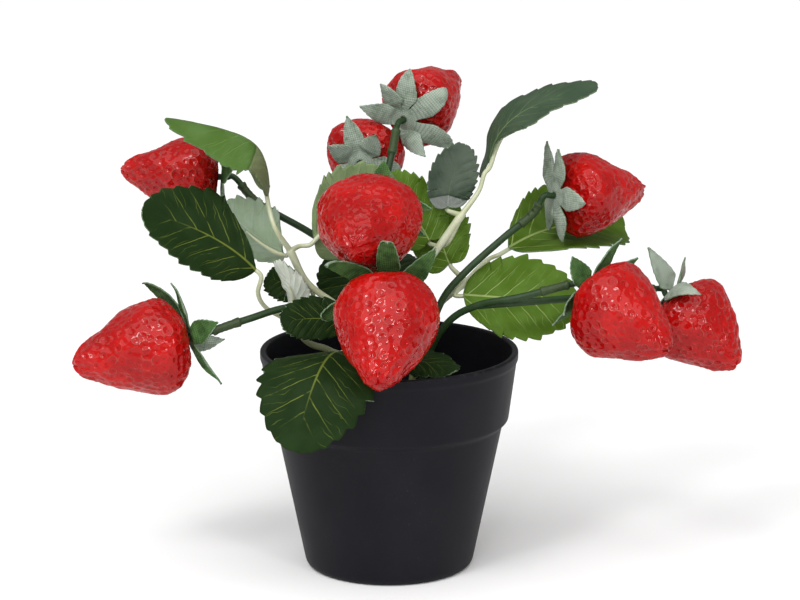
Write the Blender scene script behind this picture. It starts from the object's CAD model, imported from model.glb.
import math

import bpy
import numpy as np
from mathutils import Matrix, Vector


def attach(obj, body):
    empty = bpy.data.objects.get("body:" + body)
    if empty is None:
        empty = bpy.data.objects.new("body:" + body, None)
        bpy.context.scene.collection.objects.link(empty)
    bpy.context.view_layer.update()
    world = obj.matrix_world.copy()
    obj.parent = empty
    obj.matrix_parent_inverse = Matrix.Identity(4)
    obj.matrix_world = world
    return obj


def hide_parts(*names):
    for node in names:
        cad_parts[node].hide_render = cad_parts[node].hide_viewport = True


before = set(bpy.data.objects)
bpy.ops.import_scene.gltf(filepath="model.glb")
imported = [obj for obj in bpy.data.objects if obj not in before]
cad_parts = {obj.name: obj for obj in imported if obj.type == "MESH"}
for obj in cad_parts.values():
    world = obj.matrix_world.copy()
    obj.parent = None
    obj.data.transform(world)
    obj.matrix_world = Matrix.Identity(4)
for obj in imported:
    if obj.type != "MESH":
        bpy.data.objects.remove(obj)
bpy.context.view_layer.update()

bl_info = {
    "name": "Potted strawberry plant",
    "version": (1, 0, 0),
    "blender": (4, 5, 0),
    "location": "3D View > Sidebar > Strawberry",
    "description": "Dresses the packed frame of an artificial strawberry plant in its pot",
    "category": "Object",
}

# All places and sizes below are in millimetres; meshes are written in metres.
MM = 0.001
SEED, CALYX_SEED, LEAF_SEED = 7, 47, 87

# Sizes shared with the solids
POT_HEIGHT, RIM_RADIUS = 77.4, 45.0
BAND_FOOT_RADIUS, BAND_FOOT_HEIGHT = 41.7, 53.0
BODY_TOP_RADIUS, BODY_TOP_HEIGHT = 39.4, 49.8
BODY_FOOT_RADIUS, FOOT_ROUNDING = 29.2, 2.6
BODY_SLOPE = (BODY_TOP_RADIUS - BODY_FOOT_RADIUS) / BODY_TOP_HEIGHT
WALL, FLOOR, FILLER_TOP = 2.0, 2.4, 42.0
STEM_RADIUS, PEDICEL_RADIUS, SLEEVE_RADIUS = 1.25, 1.05, 1.75
PETIOLE_RADIUS, STALK_RADIUS = 1.15, 0.8
SOCKET_RADIUS, SOCKET_DEPTH = 1.7, 4.0
BERRY_TAPER, BERRY_WIDEST = 0.6, 1.171
HUB_RADIUS, HUB_LIFT = 4.4, 1.2
ROOT_HEIGHTS = (21, 33, 46)

# A stem's sleeve, from and to so far from its end, and its last heights above the top of the berry
SLEEVE = (12.0, 22.0)
PEDICEL_HEIGHTS = (6, 2.5, -2.85)

# A stalk under its blade: shares of the blade's length, how much of the drop, and the last radii
RIB_SHARES, RIB_DROPS = (-0.08, 0.03, 0.13, 0.28, 0.45, 0.62), (0.6, 0.9, 1.0, 1.0, 0.95, 0.8)
STALK_DROP, RIB_RADII = 0.7, (0.6, 0.45, 0.3)

# Fineness of the meshes
BERRY_ROWS, BERRY_COLUMNS = 134, 184
LEAF_ROWS, LEAF_COLUMNS, LEAF_TEETH = 117, 31, 13
SEPAL_ROWS, SEPAL_COLUMNS = 37, 17
POT_SIDES, FILLER_SIDES, STEM_SIDES, PETIOLE_SIDES = 192, 200, 20, 16

# Relief of a berry: rows of seeds, then the widths of what surrounds each seed
SEEDS_FROM, SEED_ROW_STEP, SEED_SPREAD = 2.6, 0.86, 0.10
SEED_LENGTH, SEED_WIDTH, PIT_WIDTH, RING_RADIUS, RING_WIDTH = 0.55, 0.36, 0.9, 1.5, 0.42
RIDGE_WIDTH, RIDGE_HEIGHT = 0.5, 0.30
SKIN_INSET, SEAM_WIDTH, SEAM_HEIGHT = 0.5, 0.22, 0.07
FAR_FROM_SEED = 9.0

# Side veins of a leaflet, as shares of its length: their slope, bow, first place and spacing
VEIN_SLOPE, VEIN_BOW, VEIN_START, VEIN_STEP = 0.40, 0.05, 0.03, 0.155
CREASE_RADIUS = 3.0

# A calyx: the hole in its middle, a sepal's half width and its share at the root, and the sepal's
# bow, which grows as its tip falls
HUB_HOLE, SEPAL_WIDTH, SEPAL_ROOT = 1.2, 7.4, 0.28
BOW_START, BOW_PER_MM, BOW_LEAST, BOW_MOST = 0.3, 0.11, 0.25, 1.12

# The camera, in metres and radians, the sky and its panel, in degrees, and the lamps:
# (name, place, size, power), in metres and watts
CAMERA_PLACE, CAMERA_PITCH = (0.003774, -1.0, 0.3278), -0.229
LENS, SENSOR = 133.2, 36
LIGHTS_AIM = (0, 0, 0.09)
SKY_POWER, PANEL_POWER, PANEL_SPREAD, PANEL_TURN = 0.45, 2.3, 80, (32, -8, 0)
LAMPS = (
    ("key", (-0.45, -0.8, 1.05), 0.28, 4.4),
    ("fill", (0.6, -1.0, 0.6), 0.18, 2.0),
    ("front", (-0.15, -1.2, 0.55), 0.14, 1.2),
)

# ---- places, as in the solids

# name: (top of the berry, its tip, greatest radius, quarter turns of its oval about its axis)
BERRIES = {
    "far_left": ((-69, -18, 85.5), (-107, -30, 79), 17.4, 0.0),
    "upper_left": ((-60, 22, 134), (-94, 20, 137), 13.8, 0.6),
    "top": ((6, 40, 152), (24, 68, 162), 14.6, 1.3),
    "top_rear": ((-10, 34, 137), (-5, 66, 140), 14.0, 0.4),
    "centre": ((-4.5, -12, 128.5), (-11.5, -52, 124.5), 17.5, 0.0),
    "front": ((0.5, -35, 104), (-3.5, -71, 83), 18.8, 0.9),
    "upper_right": ((59, 14, 129), (90, 30, 128), 15.2, 0.3),
    "right": ((68, -16, 101), (94, -38, 86), 17.0, 1.1),
    "far_right": ((99.5, 18, 90.5), (121.5, 2, 70.5), 15.9, 0.7),
}

# Calyxes of unprinted cloth, plain on both sides
PLAIN_CALYXES = ("far_right",)

# Tips of each calyx's sepals, from the top of its berry
SEPALS = {
    "far_left": ((-16, 8, 17), (-5, 2, 19), (11, -10, 8), (12, 10, -3), (12, -4, -15)),
    "upper_left": ((6, -16, 5), (6, 16, 3), (3, -10, -13), (-4, 10, 14), (1, 12, -13)),
    "top": ((-9, -4, 13), (1, -5, 18), (14, -3, 11), (16, 2, -10), (7, -6, -13), (-16, -8, 5)),
    "top_rear": ((-5, -3, 17), (-11, -8, 7), (5, -8, 11), (14, 1, -3), (-12, -3, -9), (3, -4, -15)),
    "centre": ((3, 2, 17), (19, 0, 1), (17, 3, -9), (-14, 4, 9), (-14, 4, -10), (2, 4, -17)),
    "front": ((-23, -4, -6), (-20.5, -16, 13.5), (-1, -21, 22), (15, -13, 19), (15, 6, -14)),
    "upper_right": ((-4, 6, 18), (0, -4, 17), (8, -14, 0), (2, -3, -16), (-2, 7, -14)),
    "right": ((-6, -2, 13), (12, 8, 17), (18, 14, 9), (-9, -8, -6), (-12, 2, -12)),
    "far_right": ((-9, -5, 20), (4, -2, 16), (8, -21, 7), (-9, -16, -12), (-10, 0, -18)),
}

# name: routes from the root in the filler, or from the fork, to the top of the berry named first
STEMS = {
    "stem_far_left": (
        ("far_left", (-9, -5), (-13, -6, 74), (-20, -7, 89), (-33, -8, 94), (-49, -14, 91)),
    ),
    "stem_upper_left": (
        ("upper_left", (-6, 6), (-7, 11, 72), (-15, 18, 104), (-27, 19, 114), (-46, 20, 125)),
    ),
    "stem_top_pair": (
        ("top", (0, 11), (3, 13, 80), (1, 18, 110), (-2, 21, 126), (1, 26, 142)),
        ("top_rear", (1, 18, 110), (-5, 20, 121), (-10, 24, 132)),
    ),
    "stem_front_pair": (
        ("front", (0, -7), (1, -8, 70), (1, -10, 88), (0, -20, 101)),
        ("centre", (1, -8, 70), (2, -5, 98), (1, -1, 118), (-1, -1, 125.5)),
    ),
    "stem_upper_right": (
        ("upper_right", (10, 1), (13, 2, 76), (18, 3, 93), (26, 5, 103), (40, 9, 115),
         (50, 11, 123)),
    ),
    "stem_right_pair": (
        ("right", (8, -5), (13, -5, 74), (20, -7, 88), (30, -10, 95), (45, -14, 99)),
        ("far_right", (30, -10, 95), (46, -9, 96), (66, -2, 96), (84, 12, 94)),
    ),
}

# name: (base, bend, tip), (upper face's direction at the base and, if it turns, at the tip),
# half width, folds, (lobe behind the base on each half, how hard the bend pulls)
LEAFLETS = {
    "left_arched": (((-41, -4, 136), (-42, -5, 153), (-76, -9, 159.5)),
                    ((1, 0.2, 0.1), (0, -0.4, 1)), 14.5, (-28, -38), (0.1, 0.1, 2.2)),
    "left_dark": (((-45.5, -12, 108), (-58, -12, 122), (-83.5, -20, 130)),
                  ((-0.1, -0.8, 0.6),), 15, (14, 8), (0, -0.24, 1)),
    "left_pale": (((-36.5, 3, 111), (-45, 4, 114), (-58, 7, 127)),
                  ((0.1, 0.8, 0.6),), 11.5, (30, 8), (-0.12, 0.1, 1)),
    "centre_pale": (((-26, 1, 116), (-15, 7, 126.5), (3, 8, 134.5)),
                    ((-0.1, 0.95, 0.2), (0, 0.9, 0.3)), 15, (8, 8), (0.16, -0.12, 1)),
    "rear_bright": (((14, 14.5, 113), (9, 17, 122), (-2, 17.5, 135)),
                    ((0.1, -0.95, 0.3), (0, -0.95, 0.3)), 11, (0, 0), (0.16, 0.16, 1)),
    "right_folded": (((20.5, 11, 125.5), (20, 12, 134), (26.5, 13, 147)),
                     ((0.2, -0.9, 0.3), (0.2, -0.9, 0.2)), 8.6, (14, 10), (0.1, 0.1, 1)),
    "right_bright": (((21, 13, 105), (17, 20, 113), (17, 27, 125)),
                     ((-0.3, -0.9, 0.3),), 11, (6, 6), (0.16, 0.16, 1)),
    "right_arched": (((35, 12, 143), (39, 13, 160), (72, 10, 168)),
                     ((-0.9, -0.4, 0.3), (-0.2, -0.5, 0.9)), 13, (-20, 22), (0.3, -0.2, 1.3)),
    "right_rear": (((42, 18, 109.5), (61, 35, 118), (85, 47, 111)),
                   ((0, -0.75, 0.65),), 18, (0, 38), (-0.12, 0.05, 1)),
    "right_front": (((26, 5, 95.5), (45.5, 6, 94), (65.5, 3, 92)),
                    ((0.1, -0.85, 0.5),), 15, (10, 6), (0.0, 0.0, 1)),
    "inner_dark": (((-28, 3, 97.5), (-37, 1.5, 100), (-42.5, 0.5, 103)),
                   ((-0.4, -0.7, 0.55),), 6.5, (-4, -15), (0, 0, 1)),
    "inner_low": (((-16.5, -11, 90), (-26.5, -13, 92.5), (-37, -15, 90)),
                  ((-0.2, -0.9, 0.3),), 7.5, (0, 0), (0.16, 0.16, 1)),
    "inner_shade": (((-4, 10, 92), (-12, 11, 97), (-22, 12, 107)),
                    ((0, -1, 0.1),), 12, (0, 0), (0.16, 0.16, 1)),
    "over_rim": (((-18, -23, 82), (-24, -54, 88), (-31, -56, 56)),
                 ((-0.1, -0.3, 0.95), (-0.1, -0.95, 0.2)), 19, (-12, -8), (0.16, 0.16, 1)),
    "front_inner": (((-4, -20, 79), (10, -26, 81), (23, -34, 78)),
                    ((0, -0.3, 0.95),), 8, (-8, -8), (0.16, 0.16, 1)),
    "curled": (((-33, -3.5, 91.5), (-30.5, -6, 98), (-39, -7.5, 110)),
               ((0.4, 0.9, 0.3),), 4.5, (45, 45), (0.1, 0.1, 1.2)),
    "rear": (((-4, 21, 88), (-3, 36, 104), (0, 52, 100)),
             ((0, -0.6, 0.8), (0, 0.2, 1)), 13, (0, 0), (0.16, 0.16, 1)),
}

# name: trunk from its root to the fork, then each leaflet with the way to its base
PETIOLES = {
    "petiole_left_high": (
        ((-4, 0.5), (-7, 0, 74), (-15, -1, 90), (-28, -2, 101), (-34, -4, 113)),
        (("left_arched", (-39, -8, 122)), ("left_pale",), ("centre_pale", (-31, -1, 114)))),
    "petiole_left_low": (
        ((-11, 0.5), (-12, 0, 70), (-21, -1, 77), (-28, -2, 80), (-34, -3, 88)),
        (("left_dark", (-42, -6, 93), (-45, -9, 99)), ("curled",), ("inner_dark", (-26, 3.5, 87)))),
    "petiole_front": (
        ((-5, -9.5), (-7, -11, 66), (-9, -14, 76)),
        (("over_rim", (-13, -18, 81)), ("front_inner",), ("inner_low",))),
    "petiole_right_high": (
        ((2, 0), (4, 1, 76), (7, 3, 92), (11, 5, 103), (25, 8, 123)),
        (("right_arched", (31, 10, 131), (33, 11, 137)), ("right_folded",),
         ("rear_bright", (20, 8, 113)))),
    "petiole_right_low": (
        ((6, 5), (10, 8, 76), (17, 10, 90), (27, 10, 99)),
        (("right_bright",), ("right_rear", (34, 16, 105)), ("right_front",))),
    "petiole_rear": (
        ((0, 5.5), (-1, 7, 70), (-3, 11.5, 84)),
        (("inner_shade",), ("rear", (-4, 15, 86)))),
}


# ---- sizes and colours to change

def number_property(name, description, default, **facts):
    return bpy.props.FloatProperty(name=name, description=description, default=default, **facts)


def colour_property(name, description, default):
    return bpy.props.FloatVectorProperty(
        name=name, description=description, default=default, subtype="COLOR", min=0, max=1)


class StrawberrySizes(bpy.types.PropertyGroup):
    pit_depth: number_property("Pit depth", "How deep each seed's pit is, in millimetres", 0.40)
    pit_spacing: number_property("Pit spacing", "Distance between rows of pits, in millimetres", 3.5)
    leaf_cloth: number_property("Leaf cloth", "Thickness of a leaflet's cloth", 0.00045, unit="LENGTH")
    calyx_cloth: number_property("Calyx cloth", "Thickness of a calyx's cloth", 0.0005, unit="LENGTH")
    thread: number_property("Thread", "Width of one thread of a calyx's cloth, in millimetres", 0.72)
    tooth: number_property("Tooth", "Height of a leaflet's teeth as a share of its half width", 0.07)


class StrawberryColours(bpy.types.PropertyGroup):
    berry: colour_property("Berry", "Glossy moulded skin of the berries", (0.31, 0.002, 0.002))
    berry_light: colour_property("Berry, lighter", "Thin patches of the berries' skin", (0.41, 0.005, 0.004))
    dark_leaf: colour_property("Dark leaflet", "Print of the dark leaflets", (0.0075, 0.021, 0.0035))
    bright_leaf: colour_property("Bright leaflet", "Print of the bright leaflets", (0.060, 0.120, 0.008))
    mid_leaf: colour_property("Mid-green leaflet", "Print of the arched leaflet", (0.058, 0.118, 0.021))
    leaf_back: colour_property("Leaflet underside", "Unprinted side of the leaflets", (0.275, 0.37, 0.23))
    calyx_face: colour_property("Calyx, printed side", "The side towards the berry", (0.042, 0.110, 0.026))
    calyx_back: colour_property("Calyx, plain side", "The side towards the stem", (0.31, 0.37, 0.30))
    stem: colour_property("Stem", "Moulded stems and sleeves", (0.0144, 0.036, 0.009))
    petiole: colour_property("Petiole", "Clear plastic of the leaf stalks", (0.44, 0.46, 0.29))
    pot: colour_property("Pot", "Satin moulded pot", (0.0060, 0.0060, 0.0090))
    filler: colour_property("Filler", "Cast plug in the pot", (0.035, 0.032, 0.030))
    floor: colour_property("Floor", "Plain floor", (0.95, 0.95, 0.95))


# ---- material arithmetic

def math_node(operation, swapped=False):
    """A method that makes a Math node of the value and, if it is given one, another."""
    def method(self, *others):
        values = (*others, self) if swapped else (self, *others)
        return self.finish.node("Math", {"operation": operation}, dict(enumerate(values)))
    return method


class Value:
    """A socket of a material. Arithmetic on it adds Math nodes."""

    def __init__(self, finish, socket):
        self.finish, self.socket = finish, socket

    __add__ = __radd__ = math_node("ADD")
    __sub__, __rsub__ = math_node("SUBTRACT"), math_node("SUBTRACT", swapped=True)
    __mul__ = __rmul__ = math_node("MULTIPLY")
    __truediv__, __abs__ = math_node("DIVIDE"), math_node("ABSOLUTE")
    sine, fraction, above = math_node("SINE"), math_node("FRACT"), math_node("MAXIMUM")

    def ramp(self, low, high):
        """0 where the value is low, 1 where it is high, eased between; low may be the larger."""
        if low > high:
            return 1 - self.ramp(high, low)
        return self.finish.node("MapRange", {"interpolation_type": "SMOOTHSTEP"},
                                {"Value": self, "From Min": low, "From Max": high})


class Finish:
    """A material under construction, ending in its Principled shader."""

    def __init__(self, name, **constants):
        self.material = bpy.data.materials.new(name)
        self.material.use_nodes = True
        self.shader = self.material.node_tree.nodes["Principled BSDF"]
        for socket, number in constants.items():
            self.shader.inputs[socket.replace("_", " ")].default_value = number

    def node(self, kind, settings=None, inputs=None, output=0):
        """A new node with these settings and inputs, as the value of one of its outputs."""
        made = self.material.node_tree.nodes.new("ShaderNode" + kind)
        for key, setting in (settings or {}).items():
            setattr(made, key, setting)
        for key, given in (inputs or {}).items():
            if isinstance(given, Value):
                self.material.node_tree.links.new(given.socket, made.inputs[key])
            else:
                made.inputs[key].default_value = given
        return Value(self, made.outputs[output])

    def mix(self, mask, first, second):
        """The first colour where the mask is 0 and the second where it is 1."""
        first, second = (c if isinstance(c, Value) else (*c[:3], 1.0) for c in (first, second))
        return self.node("Mix", {"data_type": "RGBA"}, {0: mask, 6: first, 7: second}, output=2)

    def coats(self, base, *coats):
        """A colour with others laid over it in turn, each given with its mask."""
        for mask, colour in coats:
            base = self.mix(mask, base, colour)
        return base

    def place(self):
        return self.node("TexCoord", output="Object")

    def noise(self, size, detail=2.0, rough=0.5, stretch=(1, 1, 1)):
        """Noise from 0 to 1 whose blotches are about size millimetres across."""
        mapped = self.node("Mapping", {}, {"Vector": self.place(),
                           "Scale": tuple(s / (size * MM) for s in stretch)})
        return self.node("TexNoise", {}, {"Vector": mapped, "Scale": 1.0, "Detail": detail,
                                                    "Roughness": rough})

    def part(self, vector, number):
        """One of the three parts of a vector, counted from 0."""
        return self.node("SeparateXYZ", {}, {"Vector": vector}, output=number)

    def uv(self, layer):
        """The two parts of a UV map, as values."""
        vector = self.node("UVMap", {"uv_map": layer})
        return self.part(vector, 0), self.part(vector, 1)

    def attribute(self, name):
        return self.node("Attribute", {"attribute_name": name}, output="Fac")

    def bump(self, height, distance, strength=1.0, over=None):
        """Relief of this height in millimetres, laid over another relief if one is given."""
        inputs = {"Height": height, "Distance": distance * MM, "Strength": strength}
        if over is not None:
            inputs["Normal"] = over
        return self.node("Bump", {}, inputs)

    def done(self, base, rough=None, relief=None):
        """The material, with its colour and, if given, its roughness and relief linked to the shader."""
        for socket, value in (("Base Color", base), ("Roughness", rough), ("Normal", relief)):
            if value:
                self.material.node_tree.links.new(value.socket, self.shader.inputs[socket])
        return self.material


def weave(finish, layer, thread):
    """Height of a plain weave: two sets of round threads that pass over and under in turn."""
    across, along = finish.uv(layer)
    a, b = across / thread * math.pi, along / thread * math.pi
    over = (a.sine() * b.sine()).ramp(-0.35, 0.35)
    return abs(a.sine()) * over + abs(b.sine()) * (1 - over)


# ---- surfaces

NO_TRIANGLES = np.zeros((0, 3), int)


def grid_faces(rows, columns, closed=False):
    """Quads between neighbouring rows of a grid; a closed grid joins its last column to its first."""
    r, c = np.meshgrid(np.arange(rows - 1), np.arange(columns if closed else columns - 1), indexing="ij")
    n = (c + 1) % columns
    quads = np.stack([r * columns + c, r * columns + n, (r + 1) * columns + n, (r + 1) * columns + c], -1)
    return quads.reshape(-1, 4)


def outward(points, quads, triangles):
    """The faces, turned round if the closed surface they make is inside out."""
    a, b, c, d = (points[quads[:, k]] for k in range(4))
    volume = (np.cross(a, b) * c).sum() + (np.cross(a, c) * d).sum()
    a, b, c = (points[triangles[:, k]] for k in range(3))
    volume += (np.cross(a, b) * c).sum()
    return (quads, triangles) if volume > 0 else (quads[:, ::-1], triangles[:, ::-1])


def faced(points, quads, way):
    """The quads of a sheet, turned round if the sheet as a whole faces against this direction."""
    corners = points[quads]
    normal = np.cross(corners[:, 2] - corners[:, 0], corners[:, 3] - corners[:, 1]).sum(0)
    return quads[:, ::-1] if normal @ np.asarray(way) < 0 else quads


def closed_rings(rings):
    """Points, quads and triangles of a closed surface of rings, with a pole at each end."""
    rows, sides, _ = rings.shape
    points = np.vstack([rings.reshape(-1, 3), rings[0].mean(0), rings[-1].mean(0)])
    c = np.arange(sides)
    n = (c + 1) % sides
    first = np.stack([np.full(sides, rows * sides), n, c], -1)
    last = np.stack([np.full(sides, rows * sides + 1), c + (rows - 1) * sides, n + (rows - 1) * sides], -1)
    return points, *outward(points, grid_faces(rows, sides, True), np.vstack([first, last]))


def joined(parts):
    """The arrays of one mesh from the (points, quads, triangles, numbers...) of its parts."""
    starts = np.cumsum([0] + [len(points) for points, *_ in parts])
    moved = [(p, q + start, t + start, *rest) for start, (p, q, t, *rest) in zip(starts, parts)]
    return [np.concatenate(arrays) for arrays in zip(*moved)]


def add_object(name, data, place=(0, 0, 0), turn=(0, 0, 0)):
    made = bpy.data.objects.new(name, data)
    made.location, made.rotation_euler = place, turn
    bpy.context.scene.collection.objects.link(made)
    return made


def add_piece(name, points, quads, triangles=NO_TRIANGLES, *, materials, slot, stands_for,
              layers=None, values=None):
    """One smooth mesh object from arrays, riding on the root body, that stands for CAD nodes."""
    mesh = bpy.data.meshes.new(name)
    corners = np.concatenate([quads.ravel(), triangles.ravel()])
    sizes = np.concatenate([np.full(len(quads), 4), np.full(len(triangles), 3)])
    mesh.vertices.add(len(points))
    mesh.vertices.foreach_set("co", (points * MM).ravel())
    mesh.loops.add(len(corners))
    mesh.loops.foreach_set("vertex_index", corners)
    mesh.polygons.add(len(sizes))
    mesh.polygons.foreach_set("loop_start", np.concatenate([[0], np.cumsum(sizes)[:-1]]))
    for layer, uv in (layers or {}).items():
        mesh.uv_layers.new(name=layer).data.foreach_set("uv", uv[corners].ravel())
    for key, numbers in (values or {}).items():
        mesh.attributes.new(key, "FLOAT", "POINT").data.foreach_set("value", numbers.ravel())
    mesh.update(calc_edges=True)
    mesh.validate()
    mesh.shade_smooth()
    for material in materials:
        mesh.materials.append(material)
    made = add_object(name, mesh)
    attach(made, "root")
    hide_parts(*stands_for)
    return made


def thicken(piece, thickness):
    """Gives a sheet its thickness; the far side and the cut edge take the next two materials."""
    solidify = piece.modifiers.new("Cloth", "SOLIDIFY")
    solidify.thickness = thickness
    solidify.offset = 0
    solidify.material_offset = 1
    solidify.material_offset_rim = 2


def unit(vectors):
    vectors = np.asarray(vectors, float)
    return vectors / np.linalg.norm(vectors, axis=-1, keepdims=True)


def smoothstep(low, high, x):
    t = np.clip((x - low) / (high - low), 0, 1)
    return t * t * (3 - 2 * t)


def bell(x, width):
    """exp(-(x / width)^2)"""
    return np.exp(-(x / width) ** 2)


def plateau(x, foot, start, end, far):
    """1 from start to end, eased to 0 at the foot before and the far side behind."""
    return smoothstep(foot, start, x) * smoothstep(far, end, x)


def round_angles(sides):
    return np.linspace(0, math.tau, sides, endpoint=False)


def turned(profile, sides, wobble=0.0):
    """Rings of a profile of (radius, height) points carried round the vertical axis."""
    profile = np.asarray(profile, float)
    angle = round_angles(sides)
    radius = profile[:, :1] * (1 + wobble * np.sin(3 * angle + 1) * np.ones((len(profile), 1)))
    return np.stack([radius * np.cos(angle), radius * np.sin(angle),
                     np.repeat(profile[:, 1:], sides, 1)], -1)


def rounded(profile, cuts=6):
    """The profile with each corner (radius, height, rounding) replaced by an arc-like curve.

    The curve is the quadratic one from a point on the edge before the corner to one on the edge
    after it, both at the corner's own distance from it.
    """
    profile = np.asarray(profile, float)
    t = np.linspace(0, 1, cuts)[:, None]
    found = [profile[:1, :2]]
    for before, corner, after in zip(profile, profile[1:], profile[2:]):
        a = corner[:2] + unit(before[:2] - corner[:2]) * corner[2]
        b = corner[:2] + unit(after[:2] - corner[:2]) * corner[2]
        found.append((1 - t) ** 2 * a + 2 * t * (1 - t) * corner[:2] + t * t * b)
    return np.vstack([*found, profile[-1:, :2]])


# ---- berries

def nearest(numbers, order, rank=0):
    """Each point's number of the seed at this rank of nearness."""
    return np.take_along_axis(numbers, order[..., rank:rank + 1], -1)[..., 0]


def berry_surface(top, tip, radius, quarter, pit_depth, pit_spacing, random):
    """Rings of a berry, how far each point is from its seed and how strong that seed's pit is.

    The smooth berry is a tapered egg: at a turn p from its top, its radius is
    R / widest * sin(p)^b * exp(taper * cos(p)) and its depth L / 2 * (1 - cos(p)), with a slight oval.
    The power b falls from 1 to 0.8 past the widest turn, for a blunt tip. Pits lie in rows round it,
    each row shifted by half a step. A point moves along the normal by a Gaussian pit of its distance
    from the nearest seed, a raised ring round that pit, a small seed in its middle and a ridge where
    two pits are as near.
    """
    axis = Vector(tip) - Vector(top)
    way = np.array(axis.to_track_quat("-Z", "Y").to_matrix())
    start = SOCKET_RADIUS / (math.exp(BERRY_TAPER) / BERRY_WIDEST * radius)
    turn = np.linspace(start, math.pi * 0.995, BERRY_ROWS)[:, None]
    angle = round_angles(BERRY_COLUMNS)[None, :]
    oval = 0.04 * np.cos(2 * angle + math.pi * quarter) + 0.02 * np.sin(3 * angle)
    oval = 1 + oval * smoothstep(0, 0.5, turn)
    blunt = 1 - 0.2 * smoothstep(1.7, 2.7, turn)
    across = radius / BERRY_WIDEST * np.sin(turn) ** blunt * np.exp(BERRY_TAPER * np.cos(turn)) * oval
    depth = axis.length / 2 * (1 - np.cos(turn))
    d_across, d_depth = np.gradient(across, axis=0), np.gradient(depth, axis=0)
    size = np.hypot(d_across, d_depth)
    arc = np.cumsum(size, axis=0)
    mean_arc = arc.mean(1)

    rows = np.arange(SEEDS_FROM, mean_arc[-1] - 1.0, pit_spacing * SEED_ROW_STEP)
    seed_arc, seed_angle = [], []
    for number, row in enumerate(rows):
        around = np.interp(row, mean_arc, across.mean(1))
        count = max(3, round(math.tau * around / pit_spacing))
        spots = (np.arange(count) + 0.5 * (number % 2)) / count * math.tau
        seed_angle.append(spots + random.normal(0, SEED_SPREAD * pit_spacing / max(around, 2), count))
        seed_arc.append(row + random.normal(0, SEED_SPREAD * pit_spacing, count))
    seed_arc, seed_angle = np.concatenate(seed_arc), np.concatenate(seed_angle)
    seed_size = random.uniform(0.75, 1.2, len(seed_arc))
    depth_of = random.uniform(0.55, 1.15, len(seed_arc))

    found = [np.zeros_like(across) for _ in range(4)]
    band = 24
    for low in range(0, BERRY_ROWS, band):
        part = slice(low, min(low + band, BERRY_ROWS))
        near = np.abs(seed_arc - mean_arc[part].mean()) < 8 + np.ptp(mean_arc[part])
        sa, sg, ss, sd = seed_arc[near], seed_angle[near], seed_size[near], depth_of[near]
        along = arc[part][..., None] - sa
        sideways = (np.mod(angle[..., None] - sg + math.pi, math.tau) - math.pi) * across[part][..., None]
        away = np.hypot(along, sideways) / ss
        order = np.argsort(away, axis=-1)
        found[0][part], found[1][part] = nearest(away, order), nearest(away, order, 1)
        found[2][part] = (bell(nearest(along, order), SEED_LENGTH)
                          * bell(nearest(sideways, order), SEED_WIDTH))
        found[3][part] = sd[order[..., 0]]
    first, second, seed, strength = found
    calm = smoothstep(0.8, 4.0, arc) * smoothstep(0.0, 2.5, arc[-1:] - arc)
    pit, ring = bell(first, PIT_WIDTH), bell(first - RING_RADIUS, RING_WIDTH)
    ridge = bell(second - first, RIDGE_WIDTH) * smoothstep(0.5, 0.2, arc / arc[-1:])
    lumps = (-SKIN_INSET + 0.34 * np.sin(3 * angle + 0.19 * arc + quarter) * np.sin(0.21 * arc + 2 * quarter)
             + 0.24 * np.sin(5 * angle - 0.33 * arc + 3 * quarter)
             + 0.16 * np.sin(11 * angle + 0.5 * arc) * np.sin(0.62 * arc + quarter))
    lift = strength * pit_depth * (0.5 * ring - pit + 0.6 * seed) + RIDGE_HEIGHT * ridge
    lift = lift * calm + lumps * smoothstep(0, 6, arc)
    beside = (np.mod(angle - 0.9 - quarter + math.pi / 2, math.pi) - math.pi / 2) * across
    lift = lift + SEAM_HEIGHT * bell(beside, SEAM_WIDTH) * calm

    across, depth = across + lift * d_depth / size, depth - lift * d_across / size
    across = np.vstack([np.full(BERRY_COLUMNS, SOCKET_RADIUS * 0.98), across])
    depth = np.vstack([np.full(BERRY_COLUMNS, SOCKET_DEPTH), depth])
    local = np.stack([across * np.cos(angle), across * np.sin(angle), -depth], -1)
    away = np.concatenate([np.full((1, BERRY_COLUMNS), FAR_FROM_SEED), first + FAR_FROM_SEED * (1 - calm)])
    pits = np.concatenate([np.zeros((1, BERRY_COLUMNS)), strength * calm])
    return np.array(top) + local @ way.T, away, pits


# ---- leaflets

def rib_at(leaf, s, hook):
    """Points of a blade's rib: a quadratic curve whose bend pulls hook times as hard as its ends."""
    base, bend, tip = (np.array(p, float) for p in leaf)
    s = np.asarray(s, float)[..., None]
    first, middle, last = (1 - s) ** 2, 2 * hook * s * (1 - s), s * s
    curve = (first * base + middle * bend + last * tip) / (first + middle + last)
    return np.where(s < 0, base + 2 * hook * s * (bend - base), curve)


def leaf_length(leaf, hook):
    points = rib_at(leaf, np.linspace(0, 1, 33), hook)
    return np.linalg.norm(np.diff(points, axis=0), axis=1).sum()


def leaf_point(leaf, facing, folds, hook, u, x, lift):
    """The blade's surface: u runs along the curved rib, x across it, lift off its upper face.

    Across the rib the blade rises by tan(fold) * (sqrt(x^2 + r^2) - r) with the crease's radius r, so
    each half is bent by its own fold with a soft crease.
    """
    s = u / leaf_length(leaf, hook)
    c = np.clip(s, 0.01, 0.99)
    along = unit(rib_at(leaf, c + 0.01, hook) - rib_at(leaf, c - 0.01, hook))
    c = c[..., None]
    side = unit(np.cross(along, (1 - c) * np.array(facing[0], float) + c * np.array(facing[-1], float)))
    up = np.cross(side, along)
    slope = np.where(x > 0, math.tan(math.radians(folds[1])), math.tan(math.radians(folds[0])))
    rise = slope * (np.hypot(x, CREASE_RADIUS) - CREASE_RADIUS) + lift
    return rib_at(leaf, s, hook) + side * x[..., None] + up * rise[..., None]


def vein_number(along, across):
    """Which side vein a place of a blade is near: whole on each vein, from shares along and across."""
    return (along - VEIN_SLOPE * across + VEIN_BOW * across * across - VEIN_START) / VEIN_STEP


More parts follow.
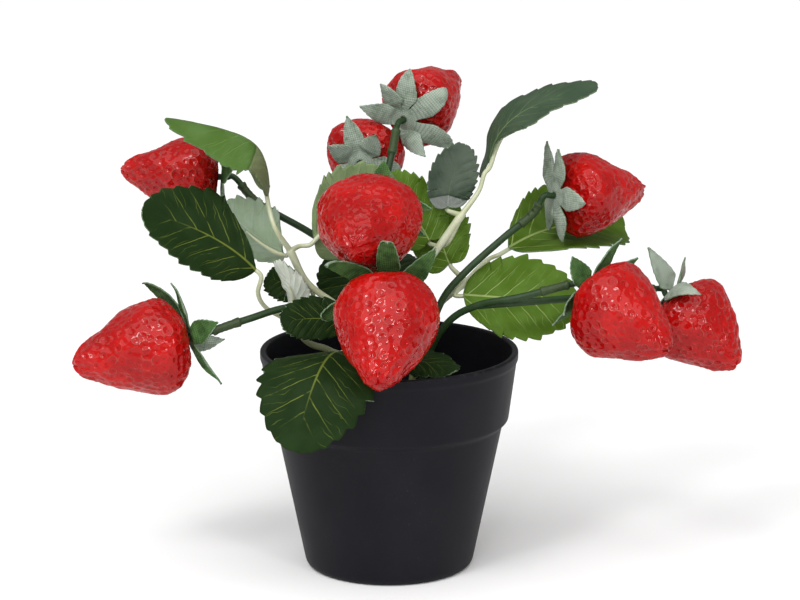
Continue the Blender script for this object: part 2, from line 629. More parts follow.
def leaf_surface(leaf, facing, half_width, folds, lobes, hook, tooth, random):
    """A grid over the blade from cut edge to cut edge, with its print's coordinates.

    Each row starts at a point of the rib and runs out to the matching point of the outline, which is
    a half ellipse with lobes behind the base and saw teeth that lean towards the tip. The blade is
    quilted between its side veins and waved at its edge.
    """
    length = leaf_length(leaf, hook)
    t = np.linspace(0.006, 0.994, LEAF_ROWS)[:, None]
    w = np.linspace(-1, 1, LEAF_COLUMNS)[None, :]
    out = np.abs(w)
    turn = math.pi * t
    sway = random.uniform(0, math.tau, 4)
    teeth_l, teeth_r = random.uniform(0.6, 1.3, (2, LEAF_TEETH + 1))
    place = t * LEAF_TEETH + np.where(w < 0, 0.0, 0.45) + 0.18 * np.sin(7 * t + sway[0])
    which = np.clip(place.astype(int), 0, LEAF_TEETH)
    phase = place - np.floor(place)
    saw = np.where(phase < 0.72, (phase / 0.72) ** 0.8, (1 - phase) / 0.28)
    height = saw * np.where(w < 0, teeth_l[which], teeth_r[which])
    reach = 1 - tooth * 0.8 + 1.6 * tooth * height * np.sin(turn)
    lobe = np.where(w > 0, lobes[1], lobes[0])
    edge_u = length * (0.5 - 0.5 * np.cos(turn) - 2 * lobe * np.sin(turn) * np.maximum(0, np.cos(turn)))
    edge_u = edge_u + 0.9 * height * plateau(t, 0.1, 0.3, 0.8, 1.0)
    edge_x = half_width * np.sin(turn) * reach
    u = (1 - out) * length * t + out * edge_u
    x = np.sign(w) * out * edge_x
    across, along = np.abs(x) / half_width, u / length
    quilt = 0.30 * (np.abs(np.sin(math.pi * vein_number(along, across))) ** 0.7 - 0.6)
    quilt = quilt * plateau(across, 0.06, 0.3, 0.7, 1.02) * plateau(along, -0.05, 0.08, 0.8, 0.98)
    wave = 0.5 * np.sin(9 * along + sway[1] + np.where(w < 0, 0, 2.0)) * out ** 3
    wave = wave + 0.3 * np.sin(21 * along + sway[2]) * out ** 5
    crease = -0.25 * bell(x, 0.8) * (1 - along)
    points = leaf_point(leaf, facing, folds, hook, u, x, quilt + wave + crease)
    print_uv = np.stack([0.5 + 0.5 * x / half_width, along], -1)
    cloth_uv = np.stack([x, u], -1)
    return points, print_uv, cloth_uv, out * np.ones_like(u)


def under_rib(leaf, facing, folds, hook):
    """Where the stalk that carries a blade lies below its rib."""
    along = np.array(RIB_SHARES) * leaf_length(leaf, hook)
    depth = -(STALK_DROP + STALK_RADIUS) * np.array(RIB_DROPS)
    return leaf_point(leaf, facing, folds, hook, along, 0 * along, depth)


# ---- calyxes

def calyx_surface(top, tip, sepals, random):
    """Parts of a calyx, each a share of the ring round the pedicel and the sepal that grows from it.

    A sepal's middle line runs from the ring to its tip with a bow outwards. Its half width is
    width * sqrt(s + root) * (1 - s) at a share s of its length, which closes in a sharp point, and
    its middle is raised.
    """
    out = -unit(np.subtract(tip, top))
    across = unit(np.cross(out, (0, 0, 1)))
    up = np.cross(out, across)
    middle = np.array(top) + out * HUB_LIFT

    def angle_of(place):
        return math.atan2((place - middle) @ up, (place - middle) @ across)

    def ring(radius, a):
        way = np.cos(a)[..., None] * across + np.sin(a)[..., None] * up
        return middle + np.asarray(radius)[..., None] * way

    tips = sorted((np.array(top) + sepal for sepal in sepals), key=angle_of)
    angles = [angle_of(place) for place in tips]
    notches = [(a + b) / 2 for a, b in zip(angles, [*angles[1:], angles[0] + math.tau])]
    notches = [notches[-1] - math.tau, *notches]
    parts = []
    for i, (end, low, high) in enumerate(zip(tips, notches, notches[1:])):
        w = np.linspace(-1, 1, SEPAL_COLUMNS)[None, :]
        theta = (low + high) / 2 + (high - low) / 2 * w
        inner = np.linspace(0, 1, 5)[:-1, None]
        radius = HUB_HOLE + (HUB_RADIUS - HUB_HOLE) * inner
        hub = ring(radius * np.ones_like(theta), theta * np.ones_like(radius))
        hub = hub + out * (0.35 * (1 - inner) * np.ones_like(theta))[..., None]
        root = ring(HUB_RADIUS, np.array((low + high) / 2))
        way = end - root
        size = np.linalg.norm(way)
        side = np.cross(out, unit(root - middle))
        side = unit(side - side @ unit(way) * unit(way))
        normal = np.cross(way / size, side)
        normal = normal * (1 if normal @ out > 0 else -1)
        s = np.linspace(0, 1, SEPAL_ROWS)[:, None]
        half = SEPAL_WIDTH * np.sqrt(s + SEPAL_ROOT) * (1 - s) ** random.uniform(0.95, 1.1)
        half = half * random.uniform(0.92, 1.06) + 0.03
        ragged = 0.10 * np.sin(40 * s + 6 * i) + 0.07 * np.sin(97 * s + 3 * i)
        half = half + ragged * plateau(s, 0.1, 0.3, 0.85, 1.0)
        drop = -(end - np.array(top)) @ out
        bow = unit(root - middle) * size * np.clip(BOW_START + BOW_PER_MM * drop, BOW_LEAST, BOW_MOST)
        line = way * s[..., None] + bow * (s * (1 - s))[..., None]
        crown = 0.8 * np.minimum(1, half / 4.2)
        sway = random.uniform(-1, 1, 3)
        ripple = 0.35 * np.sin(7 * s + 4 * sway[0]) * np.abs(w) ** 2 + 0.25 * sway[1] * w * s
        body = root + line + side * (w * half)[..., None]
        body = body + normal * (crown * (1 - w * w) + ripple * smoothstep(0, 0.3, s)
                                + sway[2] * 0.6 * s ** 3)[..., None]
        fan = ring(np.full_like(theta, HUB_RADIUS), theta) + line
        mask = smoothstep(0.0, 0.22, s)[..., None]
        grid = np.concatenate([hub, fan * (1 - mask) + body * mask])
        x = np.concatenate([radius * np.sin((high - low) / 2 * w), w * half])
        y = np.concatenate([np.repeat(radius, SEPAL_COLUMNS, 1), HUB_RADIUS + size * s * np.ones_like(w)])
        cloth = np.stack([x, y + 11.3 * i], -1)
        edge = np.abs(w) * np.concatenate([0 * inner, smoothstep(0, 0.3, s)])
        edge = np.maximum(edge, np.concatenate([0 * inner, smoothstep(0.93, 1.0, s)]) * np.ones_like(w))
        parts.append((grid.reshape(-1, 3), grid_faces(*x.shape), NO_TRIANGLES, cloth.reshape(-1, 2),
                      edge.ravel()))
    return parts


# ---- stems and petioles

def smooth_route(route, radii, cuts=8):
    """Catmull-Rom points through the route, with the radius eased between its points."""
    places = np.array([np.append(p, r) for p, r in zip(route, radii)], float)
    padded = np.vstack([2 * places[0] - places[1], places, 2 * places[-1] - places[-2]])
    a, b, c, d = (padded[k:len(padded) - 3 + k, None, :] for k in range(4))
    t = (np.arange(cuts) / cuts)[None, :, None]
    found = 0.5 * (2 * b + (c - a) * t + (2 * a - 5 * b + 4 * c - d) * t * t
                   + (3 * b - a - 3 * c + d) * t ** 3)
    return np.vstack([found.reshape(-1, 4), places[-1]])


def swept(points, sides):
    """Rings of a round rod along (x, y, z, radius) points.

    Each ring lies across the path's direction there, measured from one fixed direction: the one that
    the path as a whole turns about least. The ends close in a half-round cap.
    """
    places, radius = points[:, :3], points[:, 3]
    along = unit(np.gradient(places, axis=0))
    reference = np.linalg.svd(places - places.mean(0))[2][2]
    first = unit(np.cross(along, reference))
    second = np.cross(along, first)
    angle = round_angles(sides)[None, :, None]
    way = np.cos(angle) * first[:, None] + np.sin(angle) * second[:, None]
    rings = places[:, None] + radius[:, None, None] * way
    caps = []
    for end, way in ((0, -1), (-1, 1)):
        for share in (0.55, 0.9):
            flat = places[end] + (rings[end] - places[end]) * math.sqrt(1 - share ** 2)
            caps.append(flat + way * along[end] * radius[end] * share)
    return np.stack([caps[1], caps[0], *rings, caps[2], caps[3]])


def from_root(route):
    """The route with its root, given as (x, y), led straight up through its hole in the filler."""
    if len(route[0]) == 3:
        return list(route)
    return [(*route[0], height) for height in ROOT_HEIGHTS] + list(route[1:])


def stem_path(berry, route):
    """Points of a stem to its berry, stepped out at the sleeve that joins it to the pedicel."""
    top, tip, *_ = BERRIES[berry]
    out = -unit(np.subtract(tip, top))
    route = from_root(route) + [np.array(top) + out * height for height in PEDICEL_HEIGHTS]
    smooth = smooth_route(route, [STEM_RADIUS] * len(route))
    legs = np.linalg.norm(np.diff(smooth[:, :3], axis=0), axis=1)
    left = np.append(np.cumsum(legs[::-1])[::-1], 0)
    low, high = SLEEVE
    steps = [end + step for end in SLEEVE for step in (-0.35, -0.1, 0.1, 0.35)]
    marks = np.unique(np.concatenate([left, steps, np.arange(low + 0.8, high - 0.5, 0.8)]))
    marks = marks[marks <= left[0]][::-1]
    places = np.stack([np.interp(marks, left[::-1], smooth[::-1, k]) for k in range(3)], -1)
    sleeve = plateau(marks, low - 0.2, low + 0.1, high - 0.1, high + 0.2)
    ribs = 0.10 * np.sin(marks * 3.9) * plateau(marks, low + 1, low + 2, high - 2, high - 1)
    collar = 0.28 * (bell(marks - (high - 0.7), 0.7) + bell(marks - (low + 0.6), 0.6))
    radius = np.where(marks < low, PEDICEL_RADIUS, STEM_RADIUS)
    radius = radius + sleeve * (SLEEVE_RADIUS - 0.25 - radius + ribs + collar)
    radius = radius + 0.35 * plateau(marks, -1, 2, 1, 4)
    return np.column_stack([places, radius])


def rods_piece(name, paths, sides, key, shares, **facts):
    """One piece from several swept rods, each ring of which holds its share of what key names."""
    parts = []
    for path, share in zip(paths, shares):
        rings = np.concatenate([share[:1], share[:1], share, share[-1:], share[-1:]])
        values = np.append(np.repeat(rings, sides), [share[0], share[-1]])
        parts.append((*closed_rings(swept(path, sides)), values))
    points, quads, triangles, values = joined(parts)
    return add_piece(name, points, quads, triangles, values={key: values}, **facts)


# ---- finishes

def scaled(colour, times):
    return tuple(min(1.0, times * part) for part in colour)


def off_line(number):
    """How far a value is from the nearest whole number."""
    return abs((number + 0.5).fraction() - 0.5)


def berry_skin(colours):
    """Glossy moulded plastic: a fine raised ring round each seed, deeper red pits and thin patches."""
    skin = Finish("berry_skin", Roughness=0.6, Specular_IOR_Level=0.0, Coat_Weight=0.6,
                  Coat_Roughness=0.10, Coat_IOR=1.45)
    away, pit = skin.attribute("away"), skin.attribute("pit")
    broken = skin.noise(3.2)
    ring = away.ramp(1.2, 1.5) * away.ramp(1.9, 1.6) * broken.ramp(0.44, 0.56) * pit.ramp(0.6, 1.0)
    point = away.ramp(0.65, 0.2) * pit
    fleck = skin.noise(0.9, 1).ramp(0.76, 0.82) * skin.noise(21, 0).ramp(0.6, 0.72)
    base = skin.coats(
        colours.berry,
        (skin.noise(13, 3).ramp(0.36, 0.68), colours.berry_light),
        (away.ramp(1.2, 0.3) * 0.12, (0.30, 0.004, 0.004)),
        (point * 0.4, (0.22, 0.004, 0.004)),
        (ring * 0.17, (0.85, 0.20, 0.16)),
        (fleck * 0.5, (0.10, 0.01, 0.01)))
    peel = skin.bump(skin.noise(1.3, 3, 0.55), 0.30, 0.7)
    relief = skin.bump(ring + 0.9 * away.ramp(0.7, 0.1) * pit, 0.36, over=peel)
    return skin.done(base, 0.5 + 0.2 * skin.noise(4), relief)


def moulded_green(colours):
    """Moulded plastic of the stems, with mottling, pale scuffs and a satin face."""
    made = Finish("stem_plastic", Roughness=0.42, Specular_IOR_Level=0.25)
    mottle = made.noise(5, 3)
    base = made.coats(
        colours.stem,
        (mottle.ramp(0.35, 0.75), (0.024, 0.055, 0.020)),
        (made.noise(1.6).ramp(0.66, 0.8) * 0.5, (0.06, 0.09, 0.045)),
        (made.attribute("sleeve").ramp(0.3, 0.9) * 0.6, (0.042, 0.062, 0.022)))
    relief = made.bump(made.noise(0.7), 0.08, 0.6)
    return made.done(base, 0.34 + 0.25 * mottle, relief)


def clear_petiole(colours):
    """Milky cream plastic, greener at its root, with a waxy shine."""
    made = Finish("petiole_plastic", Roughness=0.35, Coat_Weight=0.15, Coat_Roughness=0.2)
    cloud = made.noise(6, 3)
    base = made.coats(
        colours.petiole,
        (cloud.ramp(0.3, 0.75), (0.52, 0.55, 0.40)),
        (made.attribute("green") * 0.8, (0.23, 0.27, 0.085)))
    relief = made.bump(made.noise(0.8), 0.05, 0.5)
    return made.done(base, 0.30 + 0.2 * cloud, relief)


def pot_plastic(colours):
    """Satin black plastic: a fine moulded grain and some dust, rubbed lighter along the rim."""
    made = Finish("pot_plastic", Roughness=0.5, Specular_IOR_Level=0.11)
    height = made.part(made.place(), 2)
    cloud = made.noise(26, 4)
    rub = made.noise(2.2, 3, stretch=(1, 1, 0.35))
    rim = height.ramp(POT_HEIGHT * MM - 0.0016, POT_HEIGHT * MM)
    dust = made.noise(0.55, 1).ramp(0.74, 0.78) * cloud.ramp(0.5, 0.7)
    base = made.coats(
        colours.pot,
        (cloud.ramp(0.3, 0.8) * 0.6, (0.012, 0.012, 0.015)),
        (rim * rub.ramp(0.5, 0.8) * 0.6, (0.035, 0.035, 0.037)),
        (dust * 0.5, (0.11, 0.11, 0.11)))
    streaks = made.noise(5, stretch=(1, 1, 0.12))
    relief = made.bump(made.noise(0.42, 2, 0.6), 0.035, 0.55, over=made.bump(streaks, 0.06, 0.4))
    return made.done(base, 0.40 + 0.16 * cloud + 0.08 * streaks, relief)


def cast_filler(colours):
    """Dark rough cast plug with pores and a few pale grains."""
    made = Finish("filler_cast", Roughness=0.9)
    grain = made.noise(1.2, 5, 0.65)
    base = made.coats(
        colours.filler,
        (grain.ramp(0.3, 0.7), (0.075, 0.070, 0.064)),
        (made.noise(0.7, 0).ramp(0.7, 0.76) * 0.7, (0.17, 0.16, 0.14)))
    relief = made.bump(grain, 0.5, 0.9, over=made.bump(made.noise(4, 3), 0.8, 0.6))
    return made.done(base, 0.8 + 0.15 * grain, relief)


def calyx_cloth(name, thread, ground, light, dark):
    """One side of a calyx: coarse woven cloth in mottled threads."""
    made = Finish(name, Roughness=0.75, Specular_IOR_Level=0.2)
    cloth = weave(made, "cloth", thread)
    blot, fine = made.noise(3.2, 4, 0.6), made.noise(0.8)
    base = made.coats(
        ground,
        (blot.ramp(0.3, 0.62), light),
        (blot.ramp(0.62, 0.3) * fine.ramp(0.35, 0.65) * 0.7, dark),
        (cloth.ramp(0.85, 0.25) * 0.6, dark),
        (made.attribute("edge").ramp(0.86, 0.98) * fine.ramp(0.3, 0.6) * 0.3, light))
    relief = made.bump(cloth, 0.12, 0.9, over=made.bump(blot, 0.15, 0.4))
    return made.done(base, 0.66 + 0.2 * fine, relief)


def cloth_edge(name, colour, light):
    """The frayed cut edge of the cloth."""
    made = Finish(name, Roughness=0.85)
    fray = made.noise(0.45)
    base = made.mix(fray.ramp(0.35, 0.7), colour, light)
    return made.done(base, 0.75 + 0.2 * fray, made.bump(fray, 0.15, 0.9))


def leaf_print(name, ground, shade, vein, vein_mask=0.8, turned_base=None):
    """Printed cloth of a leaflet: thin broken veins that branch and taper out before the cut edge.

    A turned base is (share of the length, colour, thread width): there the blade shows plain cloth.
    """
    made = Finish(name, Roughness=0.5, Specular_IOR_Level=0.07)
    u, along = made.uv("print")
    side = (u - 0.5) * 2
    across = abs(side)
    drift, cloud = made.noise(8) - 0.5, made.noise(9, 3)
    number = vein_number(along + drift * 0.05, across) + 0.31 * side.ramp(-0.01, 0.01)
    width = (0.0095 - 0.0085 * across).above(0.0015)
    broken = made.noise(5).ramp(0.30, 0.52)
    veins = (off_line(number) * VEIN_STEP / width).ramp(1.0, 0.3) * across.ramp(0.92, 0.5)
    veins = veins * along.ramp(0.92, 0.7) * broken
    midrib = (across / (0.042 - 0.036 * along)).ramp(1.0, 0.4) * along.ramp(0.85, 0.45)
    fork = number * 2.0 + across * 1.3 + drift * 1.4
    forks = (off_line(fork) / (0.05 - 0.03 * across)).ramp(1.0, 0.3)
    forks = forks * across.ramp(0.3, 0.45) * across.ramp(0.85, 0.6) * broken * 0.6
    raised = veins.above(midrib)
    lines = raised.above(forks)
    base = made.coats(
        ground,
        (cloud.ramp(0.32, 0.7), shade),
        (lines * vein_mask * (0.55 + 0.6 * made.noise(2.5)), vein),
        (made.attribute("edge").ramp(0.93, 1.0) * 0.5, shade))
    if turned_base:
        share, plain, thread = turned_base
        cut = along + 0.10 * across + 0.05 * drift
        hollows = weave(made, "cloth", thread).ramp(0.95, 0.3) * 0.6
        plain_cloth = made.coats(plain, (hollows, scaled(plain, 0.45)), (lines * 0.5, scaled(plain, 1.6)))
        shadow = cut.ramp(share + 0.07, share + 0.012) * cut.ramp(share, share + 0.01) * 0.35
        base = made.coats(base, (cut.ramp(share + 0.012, share), plain_cloth), (shadow, (0, 0, 0)))
    relief = made.bump(raised * -1.0, 0.16, 0.7, over=made.bump(cloud, 0.3, 0.3))
    relief = made.bump(weave(made, "cloth", 0.22), 0.04, 0.5, over=relief)
    return made.done(base, 0.5 + 0.16 * made.noise(4) - 0.05 * lines, relief)


def leaf_underside(name, ground, light):
    """The unprinted side: paler cloth with its weave and raised veins showing."""
    made = Finish(name, Roughness=0.7, Specular_IOR_Level=0.2)
    u, along = made.uv("print")
    across = abs((u - 0.5) * 2)
    cloth, cloud = weave(made, "cloth", 0.26), made.noise(6, 4, 0.6)
    veins = (off_line(vein_number(along, across)) * VEIN_STEP / 0.012).ramp(1.0, 0.2)
    lines = (veins * across.ramp(0.97, 0.7) * 0.6).above((across / (0.075 - 0.05 * along)).ramp(1.0, 0.4))
    base = made.coats(
        ground,
        (cloud.ramp(0.3, 0.7), light),
        (lines * 0.5, scaled(light, 1.3)),
        (cloth.ramp(0.8, 0.2) * 0.35, scaled(ground, 0.6)))
    relief = made.bump(cloth, 0.06, 0.7, over=made.bump(lines, 0.25, 0.7))
    return made.done(base, 0.62 + 0.2 * cloud, relief)


# ---- making each piece

class STRAWBERRY_OT_pot(bpy.types.Operator):
    """A turned pot with a rolled rim, a tall band, a parting line below it and a rounded foot"""
    bl_idname = "strawberry.pot"
    bl_label = "Pot"

    def execute(self, context):
        colours = context.scene.strawberry_colours
        foot = BODY_FOOT_RADIUS + BODY_SLOPE * FLOOR
        profile = [
            (0.6, FLOOR, 0), (foot - WALL, FLOOR, 1.5),
            (BODY_TOP_RADIUS - WALL, BODY_TOP_HEIGHT, 1.0),
            (BAND_FOOT_RADIUS - WALL - 0.4, BAND_FOOT_HEIGHT - 1, 1.0),
            (RIM_RADIUS - WALL - 0.1, POT_HEIGHT, 0.85), (RIM_RADIUS, POT_HEIGHT, 0.85),
            (RIM_RADIUS - 0.05, POT_HEIGHT - 3.0, 0.5), (RIM_RADIUS - 0.62, POT_HEIGHT - 4.2, 0.5),
            (BAND_FOOT_RADIUS, BAND_FOOT_HEIGHT, 0.75), (BODY_TOP_RADIUS + 0.3, BODY_TOP_HEIGHT + 1.4, 0.8),
            (BODY_TOP_RADIUS, BODY_TOP_HEIGHT, 0.4),
            (BODY_TOP_RADIUS - BODY_SLOPE * 12, BODY_TOP_HEIGHT - 12, 0.3),
            (BODY_FOOT_RADIUS + BODY_SLOPE * 5, 5, 1), (BODY_FOOT_RADIUS, 0, FOOT_ROUNDING),
            (22, 0, 1), (0.6, 0, 0),
        ]
        rings = turned(rounded(profile), POT_SIDES, wobble=0.0004)
        add_piece("pot_body", *closed_rings(rings), materials=[pot_plastic(colours)], slot="pot",
                  stands_for=["pot"])
        return {"FINISHED"}


class STRAWBERRY_OT_filler(bpy.types.Operator):
    """A rough cast plug whose face dips round each stem"""
    bl_idname = "strawberry.filler"
    bl_label = "Filler"

    def execute(self, context):
        colours = context.scene.strawberry_colours
        gap, under = 0.55, 2.75
        side = BODY_FOOT_RADIUS + BODY_SLOPE * FILLER_TOP - WALL - gap
        foot = BODY_FOOT_RADIUS + BODY_SLOPE * under - WALL - gap
        radius = np.linspace(0.5, side, 70)[:, None]
        angle = round_angles(FILLER_SIDES)[None, :]
        x, y = radius * np.cos(angle), radius * np.sin(angle)
        random = np.random.default_rng(SEED)
        z = np.full_like(x, FILLER_TOP + 0.1)
        for size in (0.10, 0.22, 0.5, 1.1):
            a, b, c = random.uniform(0, math.tau, 3)
            bend = 1.5 * np.sin(size * 3 * (x * math.cos(c) - y * math.sin(c)))
            z = z + 0.12 / (1 + size) * np.sin(size * (x * math.cos(a) + y * math.sin(a)) * 4 + b + bend)
        roots = [branches[0][1] for branches in STEMS.values()] + [t[0] for t, _ in PETIOLES.values()]
        for a, b in roots:
            away = np.hypot(x - a, y - b)
            z = z + 0.55 * bell(away - 2.6, 0.8) - 1.4 * bell(away, 1.7)
        z = z - 0.8 * smoothstep(side - 3, side, radius)
        top = np.stack([x, y, z], -1)
        wall = [(side, FILLER_TOP - 1.2), (foot, under), (foot * 0.5, under), (0.5, under)]
        rings = np.concatenate([top, turned(wall, FILLER_SIDES)])
        add_piece("filler_plug", *closed_rings(rings), materials=[cast_filler(colours)], slot="filler",
                  stands_for=["filler"])
        return {"FINISHED"}


class STRAWBERRY_OT_berries(bpy.types.Operator):
    """Nine moulded berries, each with rows of seed pits, a faint parting line and a socket on top"""
    bl_idname = "strawberry.berries"
    bl_label = "Berries"

    def execute(self, context):
        sizes, colours = context.scene.strawberry_sizes, context.scene.strawberry_colours
        skin = berry_skin(colours)
        for number, (name, (top, tip, radius, quarter)) in enumerate(BERRIES.items()):
            random = np.random.default_rng(SEED + number)
            rings, away, pits = berry_surface(top, tip, radius, quarter, sizes.pit_depth, sizes.pit_spacing,
                                              random)
            values = {"away": np.append(away, [FAR_FROM_SEED] * 2), "pit": np.append(pits, [0, 0])}
            add_piece(f"berry_skin_{name}", *closed_rings(rings), values=values, materials=[skin],
                      slot="berry", stands_for=[f"berry_{name}"])
        return {"FINISHED"}


class STRAWBERRY_OT_calyxes(bpy.types.Operator):
    """Nine calyxes cut from woven cloth, printed green towards the berry and grey-green behind"""
    bl_idname = "strawberry.calyxes"
    bl_label = "Calyxes"

    def execute(self, context):
        sizes, colours = context.scene.strawberry_sizes, context.scene.strawberry_colours
        face = calyx_cloth("calyx_printed_side", sizes.thread, colours.calyx_face, (0.085, 0.185, 0.052),
                           (0.010, 0.032, 0.008))
        back = calyx_cloth("calyx_plain_side", sizes.thread, colours.calyx_back, (0.38, 0.44, 0.37),
                           (0.085, 0.125, 0.080))
        edge = cloth_edge("calyx_edge", (0.08, 0.16, 0.07), (0.22, 0.30, 0.20))
        for number, (name, (top, tip, *_)) in enumerate(BERRIES.items()):
            random = np.random.default_rng(CALYX_SEED + number)
            points, quads, triangles, cloth, rim = joined(calyx_surface(top, tip, SEPALS[name], random))
            quads = faced(points, quads, np.subtract(tip, top))
            sides = (back, back) if name in PLAIN_CALYXES else (face, back)
            made = add_piece(f"calyx_cloth_{name}", points, quads, triangles, layers={"cloth": cloth},
                             values={"edge": rim}, materials=[*sides, edge], slot="calyx",
                             stands_for=[f"calyx_{name}"])
            weld = made.modifiers.new("Joined sepals", "WELD")
            weld.merge_threshold = 0.00002
            thicken(made, sizes.calyx_cloth)
        return {"FINISHED"}


class STRAWBERRY_OT_leaflets(bpy.types.Operator):
    """Seventeen leaflets of printed cloth with saw-toothed edges and quilted veins"""
    bl_idname = "strawberry.leaflets"
    bl_label = "Leaflets"

    def execute(self, context):
        sizes, colours = context.scene.strawberry_sizes, context.scene.strawberry_colours
        prints = {
            "dark": leaf_print("leaf_dark", colours.dark_leaf, (0.013, 0.030, 0.007), (0.16, 0.20, 0.032)),
            "blue": leaf_print("leaf_blue_green", (0.037, 0.066, 0.036), (0.050, 0.080, 0.046),
                               (0.17, 0.23, 0.09), 0.7),
            "patched": leaf_print("leaf_patched", (0.030, 0.050, 0.032), (0.080, 0.105, 0.078),
                                  (0.12, 0.17, 0.08), 0.5, turned_base=(0.22, (0.20, 0.22, 0.20), 0.5)),
            "bright": leaf_print("leaf_bright", colours.bright_leaf, (0.088, 0.165, 0.022),
                                 (0.33, 0.42, 0.15)),
            "mid": leaf_print("leaf_mid_green", colours.mid_leaf, (0.076, 0.145, 0.036),
                              (0.22, 0.31, 0.11), 0.5, turned_base=(0.40, (0.155, 0.185, 0.085), 0.3)),
            "pale": leaf_underside("leaf_sage", (0.150, 0.215, 0.090), (0.205, 0.270, 0.130)),
            "back": leaf_underside("leaf_underside", colours.leaf_back, (0.33, 0.42, 0.32)),
            "milk": leaf_underside("leaf_milky", (0.50, 0.55, 0.46), (0.66, 0.70, 0.62)),
        }
        edge = cloth_edge("leaf_edge", (0.045, 0.085, 0.035), (0.15, 0.22, 0.11))
        sides = {
            "left_arched": ("mid", "mid"), "left_pale": ("dark", "back"), "centre_pale": ("dark", "pale"),
            "rear_bright": ("bright", "back"), "right_folded": ("patched", "back"),
            "right_bright": ("bright", "back"), "right_arched": ("blue", "back"),
            "right_rear": ("bright", "back"), "right_front": ("bright", "back"), "curled": ("milk", "milk"),
        }
        for number, (name, (*facts, (left, right, hook))) in enumerate(LEAFLETS.items()):
            random = np.random.default_rng(LEAF_SEED + number)
            grid, print_uv, cloth_uv, rim = leaf_surface(*facts, (left, right), hook, sizes.tooth, random)
            points = grid.reshape(-1, 3)
            quads = faced(points, grid_faces(*grid.shape[:2]), np.sum(facts[1], 0))
            face, back = sides.get(name, ("dark", "back"))
            made = add_piece(f"leaf_cloth_{name}", points, quads,
                             layers={"print": print_uv.reshape(-1, 2), "cloth": cloth_uv.reshape(-1, 2)},
                             values={"edge": rim}, materials=[prints[face], prints[back], edge], slot="leaf",
                             stands_for=[f"leaflet_{name}"])
            thicken(made, sizes.leaf_cloth)
        return {"FINISHED"}


class STRAWBERRY_OT_stems(bpy.types.Operator):
    """Six moulded stems, forked where two berries share one, with a ribbed sleeve near each berry"""
    bl_idname = "strawberry.stems"
    bl_label = "Stems"

    def execute(self, context):
        plastic = moulded_green(context.scene.strawberry_colours)
        for name, branches in STEMS.items():
            paths = [stem_path(berry, route) for berry, *route in branches]
            sleeves = [np.where(path[:, 3] > STEM_RADIUS + 0.08, 1.0, 0.0) for path in paths]
            rods_piece(f"{name}_moulding", paths, STEM_SIDES, "sleeve", sleeves, materials=[plastic],
                       slot="stem", stands_for=[name])
        return {"FINISHED"}


class STRAWBERRY_OT_petioles(bpy.types.Operator):
    """Six milky leaf stalks, thickened where they fork and thinning under each blade"""
    bl_idname = "strawberry.petioles"
    bl_label = "Petioles"

    def execute(self, context):
        plastic = clear_petiole(context.scene.strawberry_colours)
        for name, (trunk, branches) in PETIOLES.items():
            trunk = from_root(trunk)
            radii = np.linspace(PETIOLE_RADIUS * 1.15, PETIOLE_RADIUS, len(trunk))
            radii[-1] = PETIOLE_RADIUS * 1.25
            path = smooth_route(trunk, radii)
            paths, greens = [path], [smoothstep(105, 60, path[:, 2])]
            for leaf, *way in branches:
                rib, facing, _, folds, (*_, hook) = LEAFLETS[leaf]
                route = [trunk[-1], *way, *under_rib(rib, facing, folds, hook)]
                radii = [STALK_RADIUS * 1.35] + [STALK_RADIUS] * (len(way) + 3) + [*RIB_RADII]
                path = smooth_route(route, radii)
                paths.append(path)
                greens.append(np.full(len(path), 0.15))
            rods_piece(f"{name}_moulding", paths, PETIOLE_SIDES, "green", greens, materials=[plastic],
                       slot="petiole", stands_for=[name])
        return {"FINISHED"}


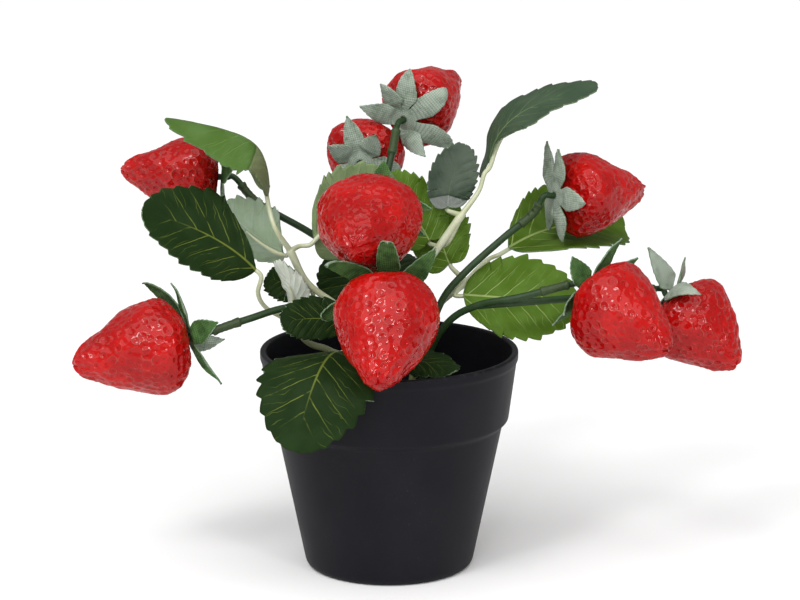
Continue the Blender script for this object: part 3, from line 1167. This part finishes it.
class STRAWBERRY_OT_stage(bpy.types.Operator):
    """A plain pale floor, soft studio lights and the camera"""
    bl_idname = "strawberry.stage"
    bl_label = "Stage"

    def execute(self, context):
        scene = context.scene
        floor = Finish("floor", Roughness=0.9)
        tone = scene.strawberry_colours.floor
        floor.done(floor.mix(floor.noise(400), tone, scaled(tone, 0.985)))
        mesh = bpy.data.meshes.new("floor")
        mesh.from_pydata([(-4, -4, 0), (4, -4, 0), (4, 4, 0), (-4, 4, 0)], [], [(0, 1, 2, 3)])
        mesh.materials.append(floor.material)
        ground = add_object("floor", mesh)

        world = bpy.data.worlds.new("studio")
        world.use_nodes = True
        world.node_tree.nodes["Background"].inputs["Color"].default_value = (1, 1, 1, 1)
        world.node_tree.nodes["Background"].inputs["Strength"].default_value = SKY_POWER
        scene.world = world
        sun = bpy.data.lights.new("sky_panel", "SUN")
        sun.energy, sun.angle = PANEL_POWER, math.radians(PANEL_SPREAD)
        add_object("sky_panel", sun, turn=[math.radians(part) for part in PANEL_TURN])
        for name, place, size, power in LAMPS:
            lamp = bpy.data.lights.new(name, "AREA")
            lamp.shape, lamp.size, lamp.energy = "DISK", size, power
            way = Vector(LIGHTS_AIM) - Vector(place)
            add_object(name, lamp, place, way.to_track_quat("-Z", "Y").to_euler())

        lens = bpy.data.cameras.new("camera")
        lens.lens, lens.sensor_width = LENS, SENSOR
        lens.clip_start, lens.clip_end = 0.01, 20
        scene.camera = add_object("camera", lens, CAMERA_PLACE, (math.pi / 2 + CAMERA_PITCH, 0, 0))
        scene.view_settings.view_transform = "Standard"
        return {"FINISHED"}


STEPS = (STRAWBERRY_OT_stage, STRAWBERRY_OT_pot, STRAWBERRY_OT_filler, STRAWBERRY_OT_berries,
         STRAWBERRY_OT_calyxes, STRAWBERRY_OT_leaflets, STRAWBERRY_OT_stems, STRAWBERRY_OT_petioles)


class STRAWBERRY_PT_panel(bpy.types.Panel):
    """Lists the steps that dress the plant"""
    bl_idname = "STRAWBERRY_PT_panel"
    bl_label = "Strawberry plant"
    bl_space_type = "VIEW_3D"
    bl_region_type = "UI"
    bl_category = "Strawberry"

    def draw(self, context):
        for step in STEPS:
            self.layout.operator(step.bl_idname)


def register():
    for each in (StrawberrySizes, StrawberryColours, *STEPS, STRAWBERRY_PT_panel):
        bpy.utils.register_class(each)
    bpy.types.Scene.strawberry_sizes = bpy.props.PointerProperty(type=StrawberrySizes)
    bpy.types.Scene.strawberry_colours = bpy.props.PointerProperty(type=StrawberryColours)


def unregister():
    del bpy.types.Scene.strawberry_colours, bpy.types.Scene.strawberry_sizes
    for each in (STRAWBERRY_PT_panel, *reversed(STEPS), StrawberryColours, StrawberrySizes):
        bpy.utils.unregister_class(each)


def main():
    register()
    for step in STEPS:
        getattr(bpy.ops.strawberry, step.bl_idname.split(".")[1])()


if __name__ == "__main__":
    main()
